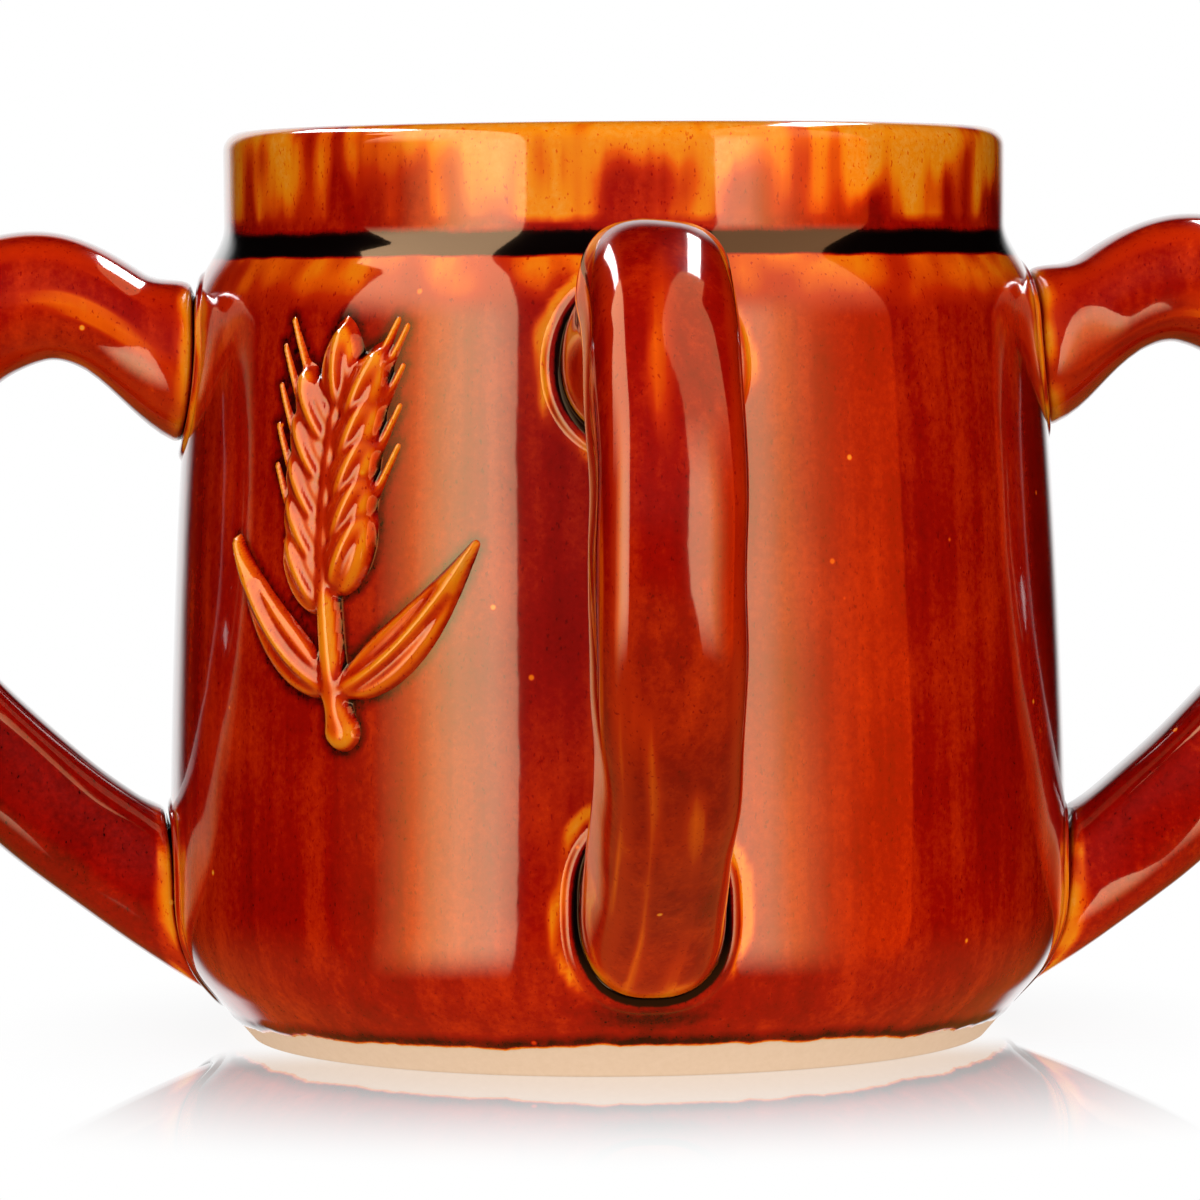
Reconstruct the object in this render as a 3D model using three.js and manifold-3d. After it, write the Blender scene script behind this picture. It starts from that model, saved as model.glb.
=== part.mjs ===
// Stoneware beer mug with four ear handles, in millimetres, +Z up.
// The origin is the middle of the foot ring, on the table. The front handle points along -Y.
import * as THREE from 'three';
import { mergeVertices } from 'three/addons/utils/BufferGeometryUtils.js';
import Module from 'manifold-3d';

const wasm = await Module();
wasm.setup();

// Body: heights stack down from the lip, diameters are those of the outside, slopes are from upright.
const HEIGHT = 96;
const COLLAR_HEIGHT = 10;
const COVE_HEIGHT = 3.7;
const COVE_SLOPE = 31;
const SHOULDER_HEIGHT = 6.3;
const COLLAR_DIAMETER = 83;
const COVE_DIAMETER = 86;
const SHOULDER_DIAMETER = 90.2;
const SHOULDER_SLOPE = 4.8;
const BELLY_DIAMETER = 95.6;
const BELLY_HEIGHT = 16;
const BASE_CORNER_HEIGHT = 9.6;
const BASE_ROUND_LENGTH = 4.8;
const FOOT_DIAMETER = 78.8;
const FOOT_RING_WIDTH = 6;
const FOOT_RECESS_DEPTH = 1.5;
const WALL_THICKNESS = 5;
const FLOOR_THICKNESS = 5.5;
const FLOOR_ROUND = 9;
const LIP_ROUND = 2;

// Handles: reaches are measured out from the belly, and slopes up from level, on the middle line of the clay.
// The insets are how deep in the wall the flare of a root is full.
const UPPER_ROOT_DROP = 4.2;
const UPPER_ROOT_INSET = 0.3;
const UPPER_ROOT_SLOPE = 24;
const UPPER_ROOT_PULL = 6;
const UPPER_ROOT_WIDTH = 18;
const UPPER_ROOT_THICKNESS = 16;
const LOWER_ROOT_HEIGHT = 14;
const LOWER_ROOT_INSET = 2.6;
const LOWER_ROOT_SLOPE = 29;
const LOWER_ROOT_PULL = 14.4;
const LOWER_ROOT_WIDTH = 16.2;
const LOWER_ROOT_THICKNESS = 14.6;
const ROOT_FLARE_LENGTH = 9;
const CREST_RISE = 6.6;
const CREST_REACH = 12.9;
const CREST_PULL = 10.2;
const LOOP_DROP = 24.6;
const LOOP_REACH = 31.4;
const LOOP_UPPER_PULL = 13.6;
const LOOP_LOWER_PULL = 16.4;
const HANDLE_WIDTH = 14.6;
const HANDLE_THICKNESS = 12.6;
const HANDLE_SQUARENESS = 2.3;
const KNUCKLE_THICKNESS = 15.2;
const KNUCKLE_START = 7;
const KNUCKLE_PEAK = 23;
const KNUCKLE_END = 58;

// Each handle is set by eye, so its roots sit a little above or below the nominal height.
const SETTING_ERROR = 1.2;
const HANDLES = [
  { name: 'front', azimuth: -90, upperOffset: 0, lowerOffset: SETTING_ERROR },
  { name: 'right', azimuth: 0, upperOffset: SETTING_ERROR, lowerOffset: 0 },
  { name: 'back', azimuth: 90, upperOffset: 0, lowerOffset: 0 },
  { name: 'left', azimuth: 180, upperOffset: -SETTING_ERROR, lowerOffset: 0 },
];

// Slip joints: a bed of slip under each root, a little wider than the root.
const SLIP_THICKNESS = 0.7;
const SLIP_OVERHANG = 1.6;
const SEAT_GAP = 0.3;
const CUTTER_OVERRUN = 1;

// Sprig: an ear of barley on a bent stem with two leaves. Its sizes run along the wall from its middle.
const SPRIG_AZIMUTH = -132;
const SPRIG_DROP = 22;
const STEM_BOTTOM = -19;
const STEM_BEND = 2;
const STEM_WIDTH = 3;
const STEM_TIP_WIDTH = 1.6;
const STEM_DEPTH = 3.2;
const EAR_BOTTOM = -5;
const GRAIN_PAIRS = 5;
const GRAIN_PITCH = 4;
const GRAIN_LENGTH = 9.6;
const GRAIN_WIDTH = 5.2;
const GRAIN_DEPTH = 4.4;
const GRAIN_TILT = 26;
const LEAF_ROOT = -15;
const LEAF_BEND_REACH = 7.5;
const LEAF_BEND_RISE = 5;
const LEAF_REACH = 15;
const LEAF_RISE = 15;
const LEAF_WIDTH = 5.4;
const LEAF_TIP_WIDTH = 0.9;
const LEAF_DEPTH = 3;

// Fineness of the facets.
const ROUND_SEGMENTS = 64;
const CURVE_STEPS = 3;
const HANDLE_STEPS = 30;
const HANDLE_SIDES = 20;
const SPRIG_STEPS = 10;
const SPRIG_SIDES = 8;

const collarFoot = HEIGHT - COLLAR_HEIGHT;
const coveFoot = collarFoot - COVE_HEIGHT;
const shoulderFoot = coveFoot - SHOULDER_HEIGHT;
const collarRadius = COLLAR_DIAMETER / 2;
const coveRadius = COVE_DIAMETER / 2;
const shoulderRadius = SHOULDER_DIAMETER / 2;
const bellyRadius = BELLY_DIAMETER / 2;
const footRadius = FOOT_DIAMETER / 2;
const innerBellyRadius = bellyRadius - WALL_THICKNESS;
const floorHeight = FOOT_RECESS_DEPTH + FLOOR_THICKNESS;
const lipRound = Math.min(LIP_ROUND, WALL_THICKNESS / 2);
const lipHeight = HEIGHT - lipRound;

const radians = THREE.MathUtils.degToRad;

// A stretch of the outside from point a up to point b, which leans in by a slope at either end.
function stretch(a, slopeA, b, slopeB) {
  const third = (b.y - a.y) / 3;
  const leanA = new THREE.Vector2(-Math.tan(radians(slopeA)), 1).multiplyScalar(third);
  const leanB = new THREE.Vector2(-Math.tan(radians(slopeB)), 1).multiplyScalar(third);
  return new THREE.CubicBezierCurve(a, a.clone().add(leanA), b.clone().sub(leanB), b);
}

// The flank from the belly up to the collar: a soft belly, a rounded shoulder and a cove under the collar.
function flankPoints() {
  const belly = new THREE.Vector2(bellyRadius, BELLY_HEIGHT);
  const shoulder = new THREE.Vector2(shoulderRadius, shoulderFoot);
  const cove = new THREE.Vector2(coveRadius, coveFoot);
  const collar = new THREE.Vector2(collarRadius, collarFoot);
  const curves = [
    stretch(belly, 0, shoulder, SHOULDER_SLOPE),
    stretch(shoulder, SHOULDER_SLOPE, cove, COVE_SLOPE),
    stretch(cove, COVE_SLOPE, collar, 0),
  ];
  return [belly, ...curves.flatMap((curve) => curve.getPoints(CURVE_STEPS).slice(1))];
}

// A quarter of a round edge, from one angle in degrees to another.
function quarterRound(radius, height, round, from, to) {
  const arc = new THREE.EllipseCurve(radius, height, round, round, radians(from), radians(to), to < from);
  return arc.getPoints(CURVE_STEPS + 1);
}

// The outside from the foot to the top of the lip: a bevelled base with a rounded corner, flank and collar.
function outsidePoints() {
  const foot = new THREE.Vector2(footRadius, 0);
  const corner = new THREE.Vector2(bellyRadius, BASE_CORNER_HEIGHT);
  const bevelLength = corner.distanceTo(foot) - BASE_ROUND_LENGTH;
  const bevelTop = corner.clone().sub(foot).setLength(bevelLength).add(foot);
  const belly = new THREE.Vector2(bellyRadius, BELLY_HEIGHT);
  const baseRound = new THREE.QuadraticBezierCurve(bevelTop, corner, belly);
  return [
    foot,
    ...baseRound.getPoints(CURVE_STEPS),
    ...flankPoints().slice(1),
    ...quarterRound(collarRadius - lipRound, lipHeight, lipRound, 0, 90),
  ];
}

// The inside from the lip down to the middle of the floor: the flank moved in by the wall.
function insidePoints() {
  const lipRadius = collarRadius - WALL_THICKNESS + lipRound;
  const flank = flankPoints().map((point) => new THREE.Vector2(point.x - WALL_THICKNESS, point.y));
  return [
    ...quarterRound(lipRadius, lipHeight, lipRound, 90, 180),
    ...flank.reverse().slice(0, -1),
    ...quarterRound(innerBellyRadius - FLOOR_ROUND, floorHeight + FLOOR_ROUND, FLOOR_ROUND, 0, -90),
    new THREE.Vector2(0, floorHeight),
  ];
}

// Turns a profile of radius and height round the Z axis.
function revolve(points) {
  return new THREE.LatheGeometry(points, ROUND_SEGMENTS).rotateX(Math.PI / 2);
}

// A closed geometry as a solid that can be joined and cut. Triangles that closed up on the axis are left out.
function solid(geometry) {
  geometry.deleteAttribute('normal');
  geometry.deleteAttribute('uv');
  const merged = mergeVertices(geometry);
  const corners = merged.index.array;
  const triangles = [];
  for (let i = 0; i < corners.length; i += 3) {
    const triangle = corners.slice(i, i + 3);
    if (new Set(triangle).size === 3) {
      triangles.push(...triangle);
    }
  }
  const vertProperties = merged.attributes.position.array;
  const triVerts = new Uint32Array(triangles);
  return new wasm.Manifold(new wasm.Mesh({ numProp: 3, vertProperties, triVerts }));
}

function geometryOf(shape) {
  const { vertProperties, triVerts } = shape.getMesh();
  const geometry = new THREE.BufferGeometry();
  geometry.setAttribute('position', new THREE.BufferAttribute(vertProperties, 3));
  geometry.setIndex(new THREE.BufferAttribute(triVerts, 1));
  geometry.computeVertexNormals();
  return geometry;
}

// The outside of the body as a full round, grown by a distance, to seat pieces on.
// A cutter runs on past the foot and the lip.
function wallGrownBy(distance, overrun) {
  const points = outsidePoints().map((point) => new THREE.Vector2(point.x + distance, point.y));
  const bottom = -overrun;
  const top = HEIGHT + overrun;
  return solid(revolve([
    new THREE.Vector2(0, bottom),
    new THREE.Vector2(points[0].x, bottom),
    ...points,
    new THREE.Vector2(points[points.length - 1].x, top),
    new THREE.Vector2(0, top),
  ]));
}

// A bar of rounded section along a curve. across gives the direction of its width,
// and sizeAt its width and thickness.
function sweep(curve, across, sizeAt, steps, sides, squareness) {
  const length = curve.getLength();
  const swell = (value) => Math.sign(value) * Math.abs(value) ** (2 / squareness);
  const positions = [];
  const triangles = [];
  for (let i = 0; i <= steps; i += 1) {
    const centre = curve.getPointAt(i / steps);
    const along = curve.getTangentAt(i / steps);
    const wide = across(centre, along).normalize();
    const thick = new THREE.Vector3().crossVectors(along, wide);
    const { width, thickness } = sizeAt((length * i) / steps, length);
    for (let j = 0; j < sides; j += 1) {
      const angle = (2 * Math.PI * j) / sides;
      const point = centre.clone();
      point.addScaledVector(wide, (width / 2) * swell(Math.cos(angle)));
      point.addScaledVector(thick, (thickness / 2) * swell(Math.sin(angle)));
      positions.push(...point);
    }
  }
  for (let i = 0; i < steps; i += 1) {
    for (let j = 0; j < sides; j += 1) {
      const a = i * sides + j;
      const b = i * sides + ((j + 1) % sides);
      triangles.push(a, b, b + sides, a, b + sides, a + sides);
    }
  }
  const lastRing = steps * sides;
  for (let j = 1; j < sides - 1; j += 1) {
    triangles.push(0, j + 1, j, lastRing, lastRing + j, lastRing + j + 1);
  }
  const geometry = new THREE.BufferGeometry();
  geometry.setAttribute('position', new THREE.Float32BufferAttribute(positions, 3));
  geometry.setIndex(triangles);
  return geometry;
}

// The outside radius of the body at a height.
function wallRadius(height) {
  const points = outsidePoints();
  const i = points.findIndex((point) => point.y >= height);
  const share = THREE.MathUtils.inverseLerp(points[i - 1].y, points[i].y, height);
  return THREE.MathUtils.lerp(points[i - 1].x, points[i].x, share);
}

// How far the middle line of a handle runs on into the wall at each root, before the wall trims it.
const upperRootDepth = UPPER_ROOT_THICKNESS / 2;
const lowerRootDepth = LOWER_ROOT_THICKNESS / 2;

// Points of a handle's middle line lie in the XZ plane.
function at(radius, height) {
  return new THREE.Vector3(radius, 0, height);
}

function along(point, slope, distance) {
  return point.clone().add(at(distance * Math.cos(radians(slope)), distance * Math.sin(radians(slope))));
}

function upperRoot({ upperOffset }) {
  const height = shoulderFoot - UPPER_ROOT_DROP + upperOffset;
  return at(wallRadius(height) - UPPER_ROOT_INSET, height);
}

function lowerRoot({ lowerOffset }) {
  const height = LOWER_ROOT_HEIGHT + lowerOffset;
  return at(wallRadius(height) - LOWER_ROOT_INSET, height);
}

// The middle line of a handle: out of the wall, over the crest, round the loop and back.
function handleCurve(handle) {
  const upper = upperRoot(handle);
  const lower = lowerRoot(handle);
  const crest = at(bellyRadius + CREST_REACH, upper.z + CREST_RISE);
  const loop = at(bellyRadius + LOOP_REACH, crest.z - LOOP_DROP);
  const curve = new THREE.CurvePath();
  curve.add(new THREE.LineCurve3(along(upper, UPPER_ROOT_SLOPE, -upperRootDepth), upper));
  curve.add(new THREE.CubicBezierCurve3(
    upper, along(upper, UPPER_ROOT_SLOPE, UPPER_ROOT_PULL), along(crest, 0, -UPPER_ROOT_PULL), crest,
  ));
  curve.add(new THREE.CubicBezierCurve3(
    crest, along(crest, 0, CREST_PULL), along(loop, 90, LOOP_UPPER_PULL), loop,
  ));
  curve.add(new THREE.CubicBezierCurve3(
    loop, along(loop, -90, LOOP_LOWER_PULL), along(lower, LOWER_ROOT_SLOPE, LOWER_ROOT_PULL), lower,
  ));
  curve.add(new THREE.LineCurve3(lower, along(lower, LOWER_ROOT_SLOPE, -lowerRootDepth)));
  return curve;
}

// The section of a handle at a distance from its upper end: flared at both roots, fuller round the knuckle.
function handleSize(distance, length) {
  const { smoothstep } = THREE.MathUtils;
  const fromUpper = distance - upperRootDepth;
  const fromLower = length - distance - lowerRootDepth;
  const upperFlare = 1 - smoothstep(fromUpper, 0, ROOT_FLARE_LENGTH);
  const lowerFlare = 1 - smoothstep(fromLower, 0, ROOT_FLARE_LENGTH);
  const knuckle = smoothstep(fromUpper, KNUCKLE_START, KNUCKLE_PEAK)
    * (1 - smoothstep(fromUpper, KNUCKLE_PEAK, KNUCKLE_END));
  const flared = (middle, upper, lower) => (
    middle + (upper - middle) * upperFlare + (lower - middle) * lowerFlare
  );
  return {
    width: flared(HANDLE_WIDTH, UPPER_ROOT_WIDTH, LOWER_ROOT_WIDTH),
    thickness: flared(HANDLE_THICKNESS, UPPER_ROOT_THICKNESS, LOWER_ROOT_THICKNESS)
      + (KNUCKLE_THICKNESS - HANDLE_THICKNESS) * knuckle,
  };
}

const sideways = () => new THREE.Vector3(0, 1, 0);

// A handle before the wall trims its ends.
function handleBar(handle) {
  const curve = handleCurve(handle);
  return solid(sweep(curve, sideways, handleSize, HANDLE_STEPS, HANDLE_SIDES, HANDLE_SQUARENESS));
}

// A straight plug through the wall along a root, as wide as the root and the slip squeezed out round it.
function rootPlug(root, slope, width, thickness) {
  const line = new THREE.LineCurve3(along(root, slope, -thickness), along(root, slope, thickness));
  const sizeAt = () => ({ width: width + 2 * SLIP_OVERHANG, thickness: thickness + 2 * SLIP_OVERHANG });
  return solid(sweep(line, sideways, sizeAt, 1, HANDLE_SIDES, HANDLE_SQUARENESS));
}

// A point on the wall: to the right of the sprig's middle and up from it.
function onWall(right, up) {
  const height = shoulderFoot - SPRIG_DROP + up;
  const radius = wallRadius(height);
  const azimuth = radians(SPRIG_AZIMUTH) + right / radius;
  return new THREE.Vector3(radius * Math.cos(azimuth), radius * Math.sin(azimuth), height);
}

function outwardAt(point) {
  return new THREE.Vector3(point.x, point.y, 0).normalize();
}

// A strip of the sprig that lies on the wall along a curve.
function strip(points, sizeAt) {
  const curve = new THREE.CatmullRomCurve3(points);
  const across = (centre, along) => outwardAt(centre).cross(along);
  return solid(sweep(curve, across, sizeAt, SPRIG_STEPS, SPRIG_SIDES, 2));
}

const earTop = EAR_BOTTOM + GRAIN_PITCH * GRAIN_PAIRS;
const stemBendAt = (up) => STEM_BEND * (up / STEM_BOTTOM) ** 2;

function stem() {
  const heights = [STEM_BOTTOM, LEAF_ROOT, EAR_BOTTOM, earTop];
  const sizeAt = (distance, length) => ({
    width: THREE.MathUtils.lerp(STEM_WIDTH, STEM_TIP_WIDTH, distance / length),
    thickness: STEM_DEPTH,
  });
  return strip(heights.map((up) => onWall(stemBendAt(up), up)), sizeAt);
}

// A pointed leaf that bends up from the stem to one side.
function leaf(side) {
  const root = stemBendAt(LEAF_ROOT);
  const points = [
    onWall(root, LEAF_ROOT),
    onWall(root + side * LEAF_BEND_REACH, LEAF_ROOT + LEAF_BEND_RISE),
    onWall(root + side * LEAF_REACH, LEAF_ROOT + LEAF_RISE),
  ];
  const sizeAt = (distance, length) => ({
    width: LEAF_TIP_WIDTH + (LEAF_WIDTH - LEAF_TIP_WIDTH) * Math.sin((Math.PI * distance) / length),
    thickness: LEAF_DEPTH,
  });
  return strip(points, sizeAt);
}

// A plump grain on the wall, with its length turned from upright by a tilt.
function grain(right, up, tilt) {
  const centre = onWall(right, up);
  const outward = outwardAt(centre);
  const upright = new THREE.Vector3(0, 0, 1);
  const sideways = new THREE.Vector3().crossVectors(upright, outward);
  const place = new THREE.Matrix4().makeBasis(sideways, upright, outward).setPosition(centre);
  const geometry = new THREE.SphereGeometry(1, SPRIG_SIDES, SPRIG_SIDES);
  geometry.scale(GRAIN_WIDTH / 2, GRAIN_LENGTH / 2, GRAIN_DEPTH / 2);
  return solid(geometry.rotateZ(radians(tilt)).applyMatrix4(place));
}

// Two rows of grains that lean out and alternate, and one at the tip.
function ear() {
  const grains = [grain(stemBendAt(earTop), earTop + GRAIN_PITCH / 2, 0)];
  for (let i = 0; i < GRAIN_PAIRS; i += 1) {
    for (const side of [-1, 1]) {
      const up = EAR_BOTTOM + GRAIN_PITCH * (side > 0 ? i + 1 : i + 0.5);
      grains.push(grain(stemBendAt(up) + side * (GRAIN_WIDTH / 2), up, -side * GRAIN_TILT));
    }
  }
  return grains;
}

const wallGlaze = new THREE.MeshStandardMaterial({ color: 0x8f2a0a, roughness: 0.15, metalness: 0 });
const handleGlaze = new THREE.MeshStandardMaterial({ color: 0x9a3410, roughness: 0.15, metalness: 0 });
const pooledGlaze = new THREE.MeshStandardMaterial({ color: 0x3b1408, roughness: 0.15, metalness: 0 });
const sprigGlaze = new THREE.MeshStandardMaterial({ color: 0xa9540f, roughness: 0.15, metalness: 0 });

const mug = new THREE.Group();

function addPiece(parent, name, shape, material) {
  const piece = new THREE.Mesh(geometryOf(shape), material);
  piece.name = name;
  parent.add(piece);
}

// The body, from the middle of the recess under it, round the foot, up the outside and down the inside.
const recessRadius = footRadius - FOOT_RING_WIDTH;
const bodyPoints = [
  new THREE.Vector2(0, FOOT_RECESS_DEPTH),
  new THREE.Vector2(recessRadius - FOOT_RECESS_DEPTH, FOOT_RECESS_DEPTH),
  new THREE.Vector2(recessRadius, 0),
  ...outsidePoints(),
  ...insidePoints(),
];
addPiece(mug, 'body', solid(revolve(bodyPoints)), wallGlaze);

// Each handle ends on its slip joints, and each slip joint lies on the wall.
const slipFace = wallGrownBy(SEAT_GAP, CUTTER_OVERRUN);
const slipBed = wallGrownBy(SEAT_GAP + SLIP_THICKNESS, 0).subtract(slipFace);
const handleFace = wallGrownBy(SEAT_GAP + SLIP_THICKNESS + SEAT_GAP, CUTTER_OVERRUN);
for (const handle of HANDLES) {
  const group = new THREE.Group();
  group.rotation.z = radians(handle.azimuth);
  mug.add(group);
  const upperPlug = rootPlug(upperRoot(handle), UPPER_ROOT_SLOPE, UPPER_ROOT_WIDTH, UPPER_ROOT_THICKNESS);
  const lowerPlug = rootPlug(lowerRoot(handle), LOWER_ROOT_SLOPE, LOWER_ROOT_WIDTH, LOWER_ROOT_THICKNESS);
  addPiece(group, `handle_${handle.name}`, handleBar(handle).subtract(handleFace), handleGlaze);
  addPiece(group, `slip_joint_${handle.name}_upper`, slipBed.intersect(upperPlug), pooledGlaze);
  addPiece(group, `slip_joint_${handle.name}_lower`, slipBed.intersect(lowerPlug), pooledGlaze);
}

// The sprig is pressed as one piece of clay, and its back follows the wall.
const sprig = [leaf(-1), leaf(1), ...ear()].reduce((whole, piece) => whole.add(piece), stem());
addPiece(mug, 'barley_sprig', sprig.subtract(slipFace), sprigGlaze);

export default mug;
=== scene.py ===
import math

import bmesh
import bpy
import numpy as np
from mathutils import Matrix, Quaternion, Vector, noise
from mathutils.bvhtree import BVHTree
from mathutils.geometry import interpolate_bezier


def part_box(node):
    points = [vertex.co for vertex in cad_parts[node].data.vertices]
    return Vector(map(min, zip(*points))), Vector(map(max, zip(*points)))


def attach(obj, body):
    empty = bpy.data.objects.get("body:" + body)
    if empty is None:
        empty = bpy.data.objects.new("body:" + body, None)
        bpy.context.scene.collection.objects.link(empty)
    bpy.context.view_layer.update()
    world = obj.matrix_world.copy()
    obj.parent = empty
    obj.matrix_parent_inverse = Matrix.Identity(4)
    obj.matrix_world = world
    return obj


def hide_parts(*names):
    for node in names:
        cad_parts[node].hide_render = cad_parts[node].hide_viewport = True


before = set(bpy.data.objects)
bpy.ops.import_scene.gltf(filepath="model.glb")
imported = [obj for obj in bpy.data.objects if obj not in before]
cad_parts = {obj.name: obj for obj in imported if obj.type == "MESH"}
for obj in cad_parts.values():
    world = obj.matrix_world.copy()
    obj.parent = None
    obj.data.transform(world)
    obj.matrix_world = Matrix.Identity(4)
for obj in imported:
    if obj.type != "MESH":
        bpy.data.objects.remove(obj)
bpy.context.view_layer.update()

# Body: one slip-cast vessel of pale stoneware, with a foot ring, a bevelled base, a flank that
# tapers a little, a rounded shoulder, a cove, a straight collar and a rounded lip. It comes out of
# the mould slightly uneven, and every other piece is luted onto it with slip.
MM = 0.001
body_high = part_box("body")[1]
lip_top = body_high.z
belly_radius = body_high.x
foot_radius = 39.4 * MM
foot_ring_width = 6 * MM
foot_recess = 1.5 * MM
base_corner_height = 9.6 * MM
base_round = 4.8 * MM
belly_height = 16 * MM
shoulder_radius = 45.1 * MM
shoulder_height = 76 * MM
shoulder_slope = math.radians(4.8)
cove_radius = 43 * MM
cove_height = 82.3 * MM
cove_slope = math.radians(31)
collar_radius = 41.5 * MM
collar_foot = 86 * MM
wall = 5 * MM
lip_round = 2 * MM
floor_height = 7 * MM
floor_round = 9 * MM
inner_collar_share = 0.75
unevenness = 0.09 * MM
unevenness_span = 24 * MM
even_middle_radius = 6 * MM
weld = 0.001 * MM
# The share of the way to a corner at which a curve's two pulls give it the shape of a parabola.
corner_pull = 2 / 3
# Steps along each stretch of the outline, fine where the outside shows, and round the axis.
recess_steps = 8
ring_slope_steps = 3
ring_steps = 6
bevel_steps = 26
base_steps = 16
flank_steps = 72
shoulder_steps = 14
cove_steps = 12
collar_steps = 10
lip_steps = 8
inner_collar_steps = 3
inner_cove_steps = 5
inner_shoulder_steps = 6
inner_flank_steps = 20
floor_steps = 10
round_steps = 360


def straight(start, end, steps):
    """Points on a straight stretch of the outline, without its end."""
    return [start.lerp(end, step / steps) for step in range(steps)]


def upright(lower, lower_slope, upper, upper_slope, steps):
    """Points on a rising stretch that leans in by a slope at either end, without its end."""
    third = (upper.z - lower.z) / 3
    lower_pull = lower + third * Vector((-math.tan(lower_slope), 0, 1))
    upper_pull = upper - third * Vector((-math.tan(upper_slope), 0, 1))
    return interpolate_bezier(lower, lower_pull, upper_pull, upper, steps + 1)[:-1]


def rounded(centre, size, first, last, steps):
    """Points on a round edge from one angle to another, in degrees."""
    angles = np.radians(np.linspace(first, last, steps + 1))
    return [centre + size * Vector((math.cos(angle), 0, math.sin(angle))) for angle in angles]


def outline_point(radius, height):
    return Vector((radius, 0, height))


foot = outline_point(foot_radius, 0)
base_corner = outline_point(belly_radius, base_corner_height)
bevel_top = base_corner + base_round * (foot - base_corner).normalized()
belly = outline_point(belly_radius, belly_height)
bevel_pull = bevel_top.lerp(base_corner, corner_pull)
belly_pull = belly.lerp(base_corner, corner_pull)
shoulder = outline_point(shoulder_radius, shoulder_height)
cove = outline_point(cove_radius, cove_height)
collar = outline_point(collar_radius, collar_foot)
lip_height = lip_top - lip_round
collar_top = outline_point(collar_radius, lip_height)
ring_inside = foot_radius - foot_ring_width
ring_edge = outline_point(ring_inside, 0)
recess_edge = outline_point(ring_inside - foot_recess, foot_recess)
inward = outline_point(-wall, 0)
inner_floor = outline_point(belly_radius - wall - floor_round, floor_height + floor_round)
floor_middle = outline_point(0, floor_height)

outline = [
    *straight(outline_point(0, foot_recess), recess_edge, recess_steps),
    *straight(recess_edge, ring_edge, ring_slope_steps),
    *straight(ring_edge, foot, ring_steps),
    *straight(foot, bevel_top, bevel_steps),
    *interpolate_bezier(bevel_top, bevel_pull, belly_pull, belly, base_steps + 1)[:-1],
    *upright(belly, 0, shoulder, shoulder_slope, flank_steps),
    *upright(shoulder, shoulder_slope, cove, cove_slope, shoulder_steps),
    *upright(cove, cove_slope, collar, 0, cove_steps),
    *straight(collar, collar_top, collar_steps),
    *rounded(outline_point(collar_radius - lip_round, lip_height), lip_round, 0, 90, lip_steps),
    *rounded(outline_point(collar_radius - wall + lip_round, lip_height), lip_round, 90, 180, lip_steps),
    *straight(collar.lerp(collar_top, inner_collar_share) + inward, collar + inward, inner_collar_steps),
    *upright(cove + inward, cove_slope, collar + inward, 0, inner_cove_steps)[::-1],
    *upright(shoulder + inward, shoulder_slope, cove + inward, cove_slope, inner_shoulder_steps)[::-1],
    *upright(belly + inward, 0, shoulder + inward, shoulder_slope, inner_flank_steps)[:0:-1],
    *rounded(inner_floor, floor_round, 0, -90, floor_steps),
    *straight(outline_point(inner_floor.x, floor_height), floor_middle, floor_steps)[1:],
    floor_middle,
]

body_mesh = bmesh.new()
outline_verts = [body_mesh.verts.new(point) for point in outline]
outline_edges = [body_mesh.edges.new(pair) for pair in zip(outline_verts, outline_verts[1:])]
bmesh.ops.spin(
    body_mesh, geom=outline_verts + outline_edges, cent=(0, 0, 0), axis=(0, 0, 1),
    angle=2 * math.pi, steps=round_steps, use_merge=True,
)
bmesh.ops.remove_doubles(body_mesh, verts=body_mesh.verts, dist=weld)
bmesh.ops.recalc_face_normals(body_mesh, faces=body_mesh.faces)

# The glaze is wiped off the foot along a wavy line, so the bare clay lies a little deeper than the
# glaze above it, and the glaze ends in a small rolled edge.
wiped_height = 2.7 * MM
wiped_swing = 0.8 * MM
wiped_scallop = 0.45 * MM
glaze_depth = 0.2 * MM
roll_depth = 0.14 * MM
# Heights over the edge of the glaze, where its depth and its roll rise and fall.
glaze_rise = (-0.1 * MM, 0.25 * MM)
roll_rise = (0, 0.3 * MM)
roll_fall = (0.5 * MM, 1.4 * MM)
# Each ripple of the wiped line: how close its waves lie, its weight, and its layer of the noise.
WIPED_RIPPLES = [(4, 1, 0), (13, 0.7, 5), (34, 0.35, 9)]


def smoothstep(low, high, value):
    share = np.clip((value - low) / (high - low), 0, 1)
    return share * share * (3 - 2 * share)


def wiped_line(azimuth):
    """Height of the edge of the glaze above the table, all round the foot."""
    ripple = 0
    for waves, weight, layer in WIPED_RIPPLES:
        ripple += weight * noise.noise((waves * math.cos(azimuth), waves * math.sin(azimuth), layer))
    return wiped_height - wiped_swing * math.cos(2 * azimuth) + wiped_scallop * ripple


for vert in body_mesh.verts:
    radius = math.hypot(vert.co.x, vert.co.y)
    if radius < even_middle_radius:
        continue
    swell = unevenness * noise.noise(vert.co / unevenness_span)
    if vert.co.z < base_corner_height and radius > ring_inside:
        above = vert.co.z - wiped_line(math.atan2(vert.co.y, vert.co.x))
        swell -= glaze_depth * (1 - smoothstep(*glaze_rise, above))
        swell += roll_depth * smoothstep(*roll_rise, above) * (1 - smoothstep(*roll_fall, above))
    vert.co.x *= 1 + swell / radius
    vert.co.y *= 1 + swell / radius


def finish_mesh(mesh, name, slot, *nodes):
    """Makes a piece of a finished mesh, smooth all over, that stands for its CAD nodes."""
    data = bpy.data.meshes.new(name)
    mesh.to_mesh(data)
    data.shade_smooth()
    piece = bpy.data.objects.new(name, data)
    bpy.context.collection.objects.link(piece)
    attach(piece, "root")
    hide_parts(*nodes)
    return piece


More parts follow.
